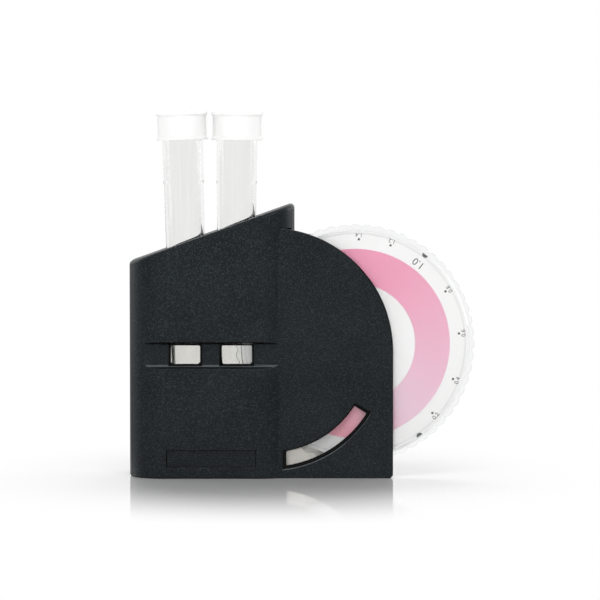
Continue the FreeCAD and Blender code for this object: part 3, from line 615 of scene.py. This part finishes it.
# Disc plate: clear moulded plastic with sixty round lobes along its rim for the thumb, and a
# shallow recess in front that takes the films and the cover. Painted shade makes the broken edges
# of the rim greyer than the rest.
DISC_ROUND = 51.4 * MM
LOBES = 60
LOBE_DEEP = 1.0 * MM
LOBE_STEPS = 8
DISC_FRONT = -2.95 * MM
DISC_BACK = -0.55 * MM
RECESS_FLOOR = -1.55 * MM
RECESS_ROUND = 49.0 * MM
HUB_HOLE = 2.05 * MM
RIM_BREAK = 0.4 * MM
RIM_BLEND = 0.2 * MM
CLEAR_MIDDLE = (0.985, 0.988, 0.988, 1)
CLEAR_RIM = (0.93, 0.935, 0.935, 1)
CLEAR_EDGE_SHADE = (0.86, 0.865, 0.865, 1)
CLEAR_HAZE = (0.02, 0.06)
EDGE_SHADE_FINISH = 1


def clear_finish(name, middle, rim, haze):
    material, tree, shader = new_finish(name)
    place = add_node(tree, "ShaderNodeTexCoord")
    centre = add_node(tree, "ShaderNodeMapping", Location=-DISC_MIDDLE, Scale=(1, 0, 1))
    radius = add_node(tree, "ShaderNodeVectorMath", operation="LENGTH")
    outside = add_node(tree, "ShaderNodeMapRange")
    outside.inputs["From Min"].default_value = RECESS_ROUND - RIM_BLEND
    outside.inputs["From Max"].default_value = RECESS_ROUND + RIM_BLEND
    colour = drifting_colour(tree, outside.outputs["Result"], middle, rim)
    rub = add_node(tree, "ShaderNodeTexNoise", Scale=240.0, Detail=5.0, Roughness=0.7)
    link = tree.links.new
    link(place.outputs["Object"], centre.inputs["Vector"])
    link(centre.outputs["Vector"], radius.inputs[0])
    link(radius.outputs["Value"], outside.inputs["Value"])
    link(colour, shader.inputs["Base Color"])
    link(place.outputs["Object"], rub.inputs["Vector"])
    link(drifting_value(tree, rub.outputs["Fac"], *haze), shader.inputs["Roughness"])
    return material, shader


def lobed_rim():
    form = bmesh.new()
    points = []
    for step in range(LOBE_STEPS + 1):
        along = 2 * step / LOBE_STEPS - 1
        turn = along * pi / LOBES
        radius = DISC_ROUND - LOBE_DEEP * along * along
        points.append(form.verts.new((radius * cos(turn), DISC_FRONT, radius * sin(turn))))
    lines = [form.edges.new(pair) for pair in zip(points, points[1:])]
    bmesh.ops.spin(form, geom=points + lines, cent=(0, 0, 0), axis=(0, 1, 0),
                   angle=2 * pi * (LOBES - 1) / LOBES, steps=LOBES - 1, use_duplicate=True)
    bmesh.ops.remove_doubles(form, verts=form.verts, dist=JOIN_REACH)
    return form


def next_ring(form, ring, depth, radius=None):
    made = bmesh.ops.extrude_edge_only(form, edges=ring)["geom"]
    for point in (item for item in made if isinstance(item, bmesh.types.BMVert)):
        spoke = Vector((point.co.x, 0, point.co.z))
        if radius:
            spoke = spoke.normalized() * radius
        point.co = (spoke.x, depth, spoke.z)
    return [item for item in made if isinstance(item, bmesh.types.BMEdge)
            and item.is_boundary]


clear_plastic, plate_shader = clear_finish("clear plastic", CLEAR_MIDDLE, CLEAR_RIM, CLEAR_HAZE)
clear_edge_shade, edge_shader = clear_finish("clear edge painted shade", CLEAR_EDGE_SHADE, CLEAR_EDGE_SHADE, CLEAR_HAZE)
for shader in (plate_shader, edge_shader):
    shader.inputs["IOR"].default_value = 1.42
    shader.inputs["Transmission Weight"].default_value = 1.0
plate_form = lobed_rim()
rim = list(plate_form.edges)
back_rim = next_ring(plate_form, rim, DISC_BACK)
back_hole = next_ring(plate_form, back_rim, DISC_BACK, HUB_HOLE)
floor_hole = next_ring(plate_form, back_hole, RECESS_FLOOR)
floor_edge = next_ring(plate_form, floor_hole, RECESS_FLOOR, RECESS_ROUND)
recess_edge = next_ring(plate_form, floor_edge, DISC_FRONT)
bmesh.ops.bridge_loops(plate_form, edges=recess_edge + [edge for edge in rim if edge.is_valid])
bmesh.ops.recalc_face_normals(plate_form, faces=plate_form.faces)
rim_edges = [edge for edge in crisp_edges(plate_form)
             if min(point.co.length for point in edge.verts) > RECESS_ROUND - LOBE_DEEP]
break_edges(plate_form, RIM_BREAK, 2, rim_edges)
bmesh.ops.translate(plate_form, vec=DISC_MIDDLE, verts=plate_form.verts)
plate_piece = finished(plate_form, "lobed_disc", clear_plastic, "disc",
                       ["disc_plate"])
plate_piece.data.materials.append(clear_edge_shade)
# Painted shade: the slanted faces of the rim's broken edges take the greyer clear finish
for face in plate_piece.data.polygons:
    spoke = face.center - DISC_MIDDLE
    on_rim = Vector((spoke.x, spoke.z)).length > RECESS_ROUND
    if on_rim and 0.15 < abs(face.normal.y) < 0.97:
        face.material_index = EDGE_SHADE_FINISH


# Scale film: a milky printed film in the recess, with a dot and a number for each value of the
# scale, and a grey hairline round its edge. The numbers read from the rim.
FILM_GAP = 0.02 * MM
FILM_BACK = RECESS_FLOOR - FILM_GAP
FILM_FRONT = -1.75 * MM
FILM_EDGE = 48.8 * MM
FILM_HOLE = 4.3 * MM
FILM_PALE = (0.95, 0.95, 0.945, 1)
FILM_WHITE = (0.98, 0.98, 0.975, 1)
HAIRLINE_ROUND = 47.4 * MM
HAIRLINE_WIDTH = 0.6 * MM
HAIRLINE_GREY = (0.82, 0.82, 0.82, 1)
INK_DARK = (0.035, 0.035, 0.038, 1)
INK_LIGHT = (0.06, 0.06, 0.062, 1)
PRINT_THICK = 0.015 * MM
SCALE_MARKS = (
    ("", 55.0), ("0.2", 42.0), ("0.4", 20.0), ("0.6", -5.5),
    ("0.8", -30.0), ("1.0", -51.7), ("1.2", -70.2), ("1.4", -88.0),
)
EDGE_MARKS = ("", "1.0")
EDGE_DOT = 1.4 * MM
EDGE_FIGURE_ROUND = 43.9 * MM
EDGE_FIGURE_HIGH = 4.4 * MM
DOT = 0.52 * MM
DOT_ROUND = 44.9 * MM
DOT_STEPS = 24
FIGURE_ROUND = 46.9 * MM
FIGURE_HIGH = 2.6 * MM


def ring_form(inner, outer, front, back):
    corners = ((inner, back), (inner, front), (outer, front), (outer, back))
    return turned_on_disc_axis(corners, closed=True)


def film_finish(name, transmission):
    material, tree, shader = new_finish(name)
    place = add_node(tree, "ShaderNodeTexCoord")
    centre = add_node(tree, "ShaderNodeMapping", Location=-DISC_MIDDLE)
    tree.links.new(place.outputs["Object"], centre.inputs["Vector"])
    shader.inputs["Roughness"].default_value = 0.5
    shader.inputs["IOR"].default_value = 1.15
    shader.inputs["Transmission Weight"].default_value = transmission
    return material, tree, shader, centre


scale_print, tree, shader, centre = film_finish("scale print", transmission=0.45)
mottle = add_node(tree, "ShaderNodeTexNoise", Scale=500.0, Detail=3.0)
radius = add_node(tree, "ShaderNodeVectorMath", operation="LENGTH")
hairline = add_node(tree, "ShaderNodeMath", operation="COMPARE")
hairline.inputs[1].default_value = HAIRLINE_ROUND
hairline.inputs[2].default_value = HAIRLINE_WIDTH / 2
ruled = add_node(tree, "ShaderNodeMix", data_type="RGBA")
ruled.inputs["B"].default_value = HAIRLINE_GREY
link = tree.links.new
link(centre.outputs["Vector"], mottle.inputs["Vector"])
link(centre.outputs["Vector"], radius.inputs[0])
link(radius.outputs["Value"], hairline.inputs[0])
link(hairline.outputs[0], ruled.inputs["Factor"])
link(drifting_colour(tree, mottle.outputs["Fac"], FILM_PALE, FILM_WHITE), ruled.inputs["A"])
link(ruled.outputs["Result"], shader.inputs["Base Color"])
finished(ring_form(FILM_HOLE, FILM_EDGE, FILM_FRONT, FILM_BACK), "printed_scale_film",
         scale_print, "disc", ["scale_film"])

print_ink, shader = moulded_finish("print ink", INK_DARK, INK_LIGHT, grain_size=0.15 * MM,
                                   grain_depth=0.002 * MM, roughness=(0.5, 0.65))


def on_film(turn, radius):
    outward = Matrix.Rotation(radians(turn), 4, "Y")
    return Matrix.Translation(DISC_MIDDLE) @ outward @ Matrix.Translation(
        (radius, FILM_FRONT - PRINT_THICK, 0))


def round_dot(form, size):
    return bmesh.ops.create_circle(form, cap_ends=True, segments=DOT_STEPS, radius=size,
                                   matrix=Matrix.Rotation(pi / 2, 4, "X"))["verts"]


def add_dot(form, turn, radius, size):
    bmesh.ops.transform(form, matrix=on_film(turn, radius), verts=round_dot(form, size))


def add_edge_dot(form, turn, size):
    dot = bmesh.new()
    round_dot(dot, size)
    bmesh.ops.bisect_plane(dot, geom=[*dot.verts, *dot.edges, *dot.faces], plane_co=(0, 0, 0),
                           plane_no=(1, 0, 0), clear_outer=True)
    bmesh.ops.transform(dot, matrix=on_film(turn, FILM_EDGE - FILM_GAP), verts=dot.verts)
    half = bpy.data.meshes.new("edge dot")
    dot.to_mesh(half)
    dot.free()
    form.from_mesh(half)
    bpy.data.meshes.remove(half)


def add_figure(form, words, turn, radius, high):
    curve = bpy.data.curves.new("figure", "FONT")
    curve.body = words
    curve.size = high
    curve.align_x = "CENTER"
    curve.align_y = "CENTER"
    writing = bpy.data.objects.new("figure", curve)
    mesh = bpy.data.meshes.new_from_object(writing)
    before = set(form.verts)
    form.from_mesh(mesh)
    made = [point for point in form.verts if point not in before]
    stand = Matrix.Rotation(pi / 2, 4, "X")
    head_in = Matrix.Rotation(-pi / 2, 4, "Y")
    bmesh.ops.transform(form, matrix=on_film(turn, radius) @ head_in @ stand, verts=made)
    bpy.data.objects.remove(writing)
    bpy.data.curves.remove(curve)
    bpy.data.meshes.remove(mesh)


mark_form = bmesh.new()
for words, turn in SCALE_MARKS:
    if words in EDGE_MARKS:
        add_edge_dot(mark_form, turn, EDGE_DOT)
        add_figure(mark_form, words, turn, EDGE_FIGURE_ROUND, EDGE_FIGURE_HIGH)
    else:
        add_dot(mark_form, turn, DOT_ROUND, DOT)
        add_figure(mark_form, words, turn, FIGURE_ROUND, FIGURE_HIGH)
bmesh.ops.recalc_face_normals(mark_form, faces=mark_form.faces)
finished(mark_form, "scale_marks", print_ink, "disc")


# Colour film: the graduated pink ring, deepest at the top of the scale and paler towards zero,
# laid over the scale film.
COLOUR_INNER = 25.9 * MM
COLOUR_OUTER = 40.8 * MM
COLOUR_FRONT = -1.95 * MM
DEEP_PINK = (1.0, 0.31, 0.53, 1)
PINK_STEPS = ((0.22, (1.0, 0.44, 0.56, 1)), (0.35, (1.0, 0.77, 0.88, 1)),
              (0.66, (1.0, 0.46, 0.65, 1)))
MOTTLE_SHARE = 0.05

colour_print, tree, shader, centre = film_finish("colour print", transmission=0.5)
split = add_node(tree, "ShaderNodeSeparateXYZ")
turn = add_node(tree, "ShaderNodeMath", operation="ARCTAN2")
share = add_node(tree, "ShaderNodeMapRange")
share.inputs["From Min"].default_value = -pi
share.inputs["From Max"].default_value = pi
wash = add_node(tree, "ShaderNodeValToRGB")
stops = wash.color_ramp.elements
for stop, position in zip(stops, (0.0, 1.0)):
    stop.position = position
    stop.color = DEEP_PINK
for position, pink in PINK_STEPS:
    stops.new(position).color = pink
mottle = add_node(tree, "ShaderNodeTexNoise", Scale=900.0, Detail=2.0)
tint = add_node(tree, "ShaderNodeMix", data_type="RGBA", blend_type="SOFT_LIGHT")
tint.inputs["Factor"].default_value = MOTTLE_SHARE
link = tree.links.new
link(centre.outputs["Vector"], split.inputs["Vector"])
link(split.outputs["Z"], turn.inputs[0])
link(split.outputs["X"], turn.inputs[1])
link(turn.outputs[0], share.inputs["Value"])
link(share.outputs["Result"], wash.inputs["Fac"])
link(centre.outputs["Vector"], mottle.inputs["Vector"])
link(wash.outputs["Color"], tint.inputs["A"])
link(mottle.outputs["Color"], tint.inputs["B"])
link(tint.outputs["Result"], shader.inputs["Base Color"])
finished(ring_form(COLOUR_INNER, COLOUR_OUTER, COLOUR_FRONT, FILM_FRONT - FILM_GAP),
         "pink_colour_ring", colour_print, "disc", ["colour_film"])


# Cover: a thin clear disc, turned from the same plastic as the plate. It closes the recess over
# the films and keeps the hub's collar in.
COVER_BACK = -2.0 * MM
COVER_BREAK = 0.12 * MM
COVER_MIDDLE = (0.95, 0.955, 0.955, 1)
COVER_RIM = (0.90, 0.905, 0.905, 1)
COVER_HAZE = (0.04, 0.12)

cover_clear, shader = clear_finish("cover clear", COVER_MIDDLE, COVER_RIM, COVER_HAZE)
shader.inputs["Alpha"].default_value = 0.06
cover_form = ring_form(HUB_HOLE, FILM_EDGE, DISC_FRONT, COVER_BACK)
break_edges(cover_form, COVER_BREAK, 2)
finished(cover_form, "clear_cover", cover_clear, "disc", ["cover_disc"])


# Stage: a pale glossy floor that fades to white away from the object, a white studio, soft lamps
# above, in front and at both sides, and the camera at the photograph's angle.
FLOOR_SIZE = 6.0
FLOOR_PALE = (0.84, 0.84, 0.84, 1)
FLOOR_REACH = (6.0, 5.5, 1.0)
FADE_RANGE = (0.7, 0.1)
WHITE_SEEN = 1.0
WHITE_MIRRORED = 0.35
STUDIO_LIGHT = 0.27
TOWARDS_FRONT = (0.0, -1.0, 0.0)
FRONT_RANGE = (0.4, 0.95)
FRONT_GLOW = 0.55
TOWARDS_BACK = (-0.3, 1.0, 0.0)
BACK_RANGE = (-0.35, 0.45)
VIEW_TARGET = Vector((13.3 * MM, -8.0 * MM, 77.0 * MM))
VIEW_PLACE = Vector((13.3 * MM, -1290.0 * MM, 150.0 * MM))

floor_form = bmesh.new()
bmesh.ops.create_grid(floor_form, x_segments=1, y_segments=1, size=FLOOR_SIZE / 2)
floor_mesh = bpy.data.meshes.new("floor")
floor_form.to_mesh(floor_mesh)
floor_form.free()
floor = bpy.data.objects.new("floor", floor_mesh)
bpy.context.scene.collection.objects.link(floor)
floor_pale, tree, shader = new_finish("floor pale")
shader.inputs["Base Color"].default_value = FLOOR_PALE
shader.inputs["Roughness"].default_value = 0.05
shader.inputs["Specular IOR Level"].default_value = 1.0
place = add_node(tree, "ShaderNodeTexCoord")
reach = add_node(tree, "ShaderNodeMapping", Scale=FLOOR_REACH)
spread = add_node(tree, "ShaderNodeTexGradient", gradient_type="SPHERICAL")
far = add_node(tree, "ShaderNodeMapRange", interpolation_type="SMOOTHSTEP")
far.inputs["From Min"].default_value = FADE_RANGE[0]
far.inputs["From Max"].default_value = FADE_RANGE[1]
rays = add_node(tree, "ShaderNodeLightPath")
thrown_back = add_node(tree, "ShaderNodeMath", operation="SUBTRACT", use_clamp=True)
white = add_node(tree, "ShaderNodeEmission")
whiteness = drifting_value(tree, thrown_back.outputs[0], WHITE_SEEN, WHITE_MIRRORED)
fade = add_node(tree, "ShaderNodeMixShader")
link = tree.links.new
link(rays.outputs["Is Glossy Ray"], thrown_back.inputs[0])
link(rays.outputs["Is Transmission Ray"], thrown_back.inputs[1])
link(whiteness, white.inputs["Strength"])
link(place.outputs["Object"], reach.inputs["Vector"])
link(reach.outputs["Vector"], spread.inputs["Vector"])
link(spread.outputs["Fac"], far.inputs["Value"])
link(far.outputs["Result"], fade.inputs["Fac"])
link(shader.outputs["BSDF"], fade.inputs[1])
link(white.outputs["Emission"], fade.inputs[2])
link(fade.outputs["Shader"], tree.nodes["Material Output"].inputs["Surface"])
floor_mesh.materials.append(floor_pale)

world = bpy.data.worlds.new("studio")
bpy.context.scene.world = world
world.use_nodes = True
tree = world.node_tree
soft = tree.nodes["Background"]
soft.inputs["Color"].default_value = (1, 1, 1, 1)
plain = add_node(tree, "ShaderNodeBackground", Strength=1.0)
plain.inputs["Color"].default_value = (1, 1, 1, 1)
rays = add_node(tree, "ShaderNodeLightPath")
heading = add_node(tree, "ShaderNodeTexCoord")


def glow_towards(way, reach, strength):
    facing = add_node(tree, "ShaderNodeVectorMath", operation="DOT_PRODUCT")
    facing.inputs[1].default_value = way
    glow = add_node(tree, "ShaderNodeMapRange", interpolation_type="SMOOTHSTEP")
    glow.inputs["From Min"].default_value = reach[0]
    glow.inputs["From Max"].default_value = reach[1]
    glow.inputs["To Max"].default_value = strength
    tree.links.new(heading.outputs["Generated"], facing.inputs[0])
    tree.links.new(facing.outputs["Value"], glow.inputs["Value"])
    return glow.outputs["Result"]


front_glow = glow_towards(TOWARDS_FRONT, FRONT_RANGE, FRONT_GLOW)
behind = glow_towards(TOWARDS_BACK, BACK_RANGE, 1.0)
studio = add_node(tree, "ShaderNodeMapRange")
studio.inputs["To Min"].default_value = STUDIO_LIGHT
mirrored = add_node(tree, "ShaderNodeMath", operation="MULTIPLY")
seen = add_node(tree, "ShaderNodeMath", operation="MAXIMUM")
shown = add_node(tree, "ShaderNodeMath", operation="MAXIMUM")
choose = add_node(tree, "ShaderNodeMixShader")
link = tree.links.new
link(rays.outputs["Is Glossy Ray"], studio.inputs["Value"])
link(front_glow, studio.inputs["To Max"])
link(studio.outputs["Result"], soft.inputs["Strength"])
link(behind, mirrored.inputs[0])
link(rays.outputs["Is Glossy Ray"], mirrored.inputs[1])
link(rays.outputs["Is Camera Ray"], seen.inputs[0])
link(mirrored.outputs[0], seen.inputs[1])
link(seen.outputs[0], shown.inputs[0])
link(rays.outputs["Is Transmission Ray"], shown.inputs[1])
link(shown.outputs[0], choose.inputs["Fac"])
link(soft.outputs["Background"], choose.inputs[1])
link(plain.outputs["Background"], choose.inputs[2])
link(choose.outputs["Shader"], tree.nodes["World Output"].inputs["Surface"])


def add_softbox(name, place, aim, size, power, mirrored=True, seen_through=True):
    lamp = bpy.data.lights.new(name, "AREA")
    lamp.shape = "RECTANGLE"
    lamp.size, lamp.size_y = size
    lamp.energy = power
    holder = bpy.data.objects.new(name, lamp)
    holder.location = place
    holder.visible_glossy = mirrored
    holder.visible_transmission = seen_through
    holder.rotation_euler = (Vector(aim) - Vector(place)).to_track_quat("-Z", "Y").to_euler()
    bpy.context.scene.collection.objects.link(holder)


add_softbox("overhead", place=(0.0, 0.5, 1.1), aim=(0.0, 0.0, 0.0), size=(0.6, 0.4), power=5.0,
            mirrored=False)
add_softbox("front_top", place=(0.1, -0.6, 1.1), aim=(0.0, 0.0, 0.05), size=(0.6, 0.12), power=4.0)
add_softbox("left_rear", place=(-0.9, 0.5, 0.45), aim=(0.0, 0.0, 0.07), size=(0.5, 0.7), power=2.2)
add_softbox("right_rear", place=(0.9, 0.5, 0.45), aim=(0.0, 0.0, 0.07), size=(0.5, 0.7), power=3.0)
add_softbox("front", place=(-0.35, -1.15, 1.0), aim=(0.0, 0.0, 0.07), size=(0.6, 0.5), power=4.4,
            mirrored=False)
add_softbox("low_fill", place=(0.0, -0.5, 0.08), aim=(0.04, 0.0, 0.03), size=(0.3, 0.12),
            power=0.64, mirrored=False, seen_through=False)

camera = bpy.data.cameras.new("camera")
camera.sensor_width = 36.0
camera.lens = 180.0
camera.clip_start = 0.01
eye = bpy.data.objects.new("camera", camera)
eye.location = VIEW_PLACE
eye.rotation_euler = (VIEW_TARGET - VIEW_PLACE).to_track_quat("-Z", "Y").to_euler()
bpy.context.scene.collection.objects.link(eye)
bpy.context.scene.camera = eye
bpy.context.scene.view_settings.view_transform = "Standard"
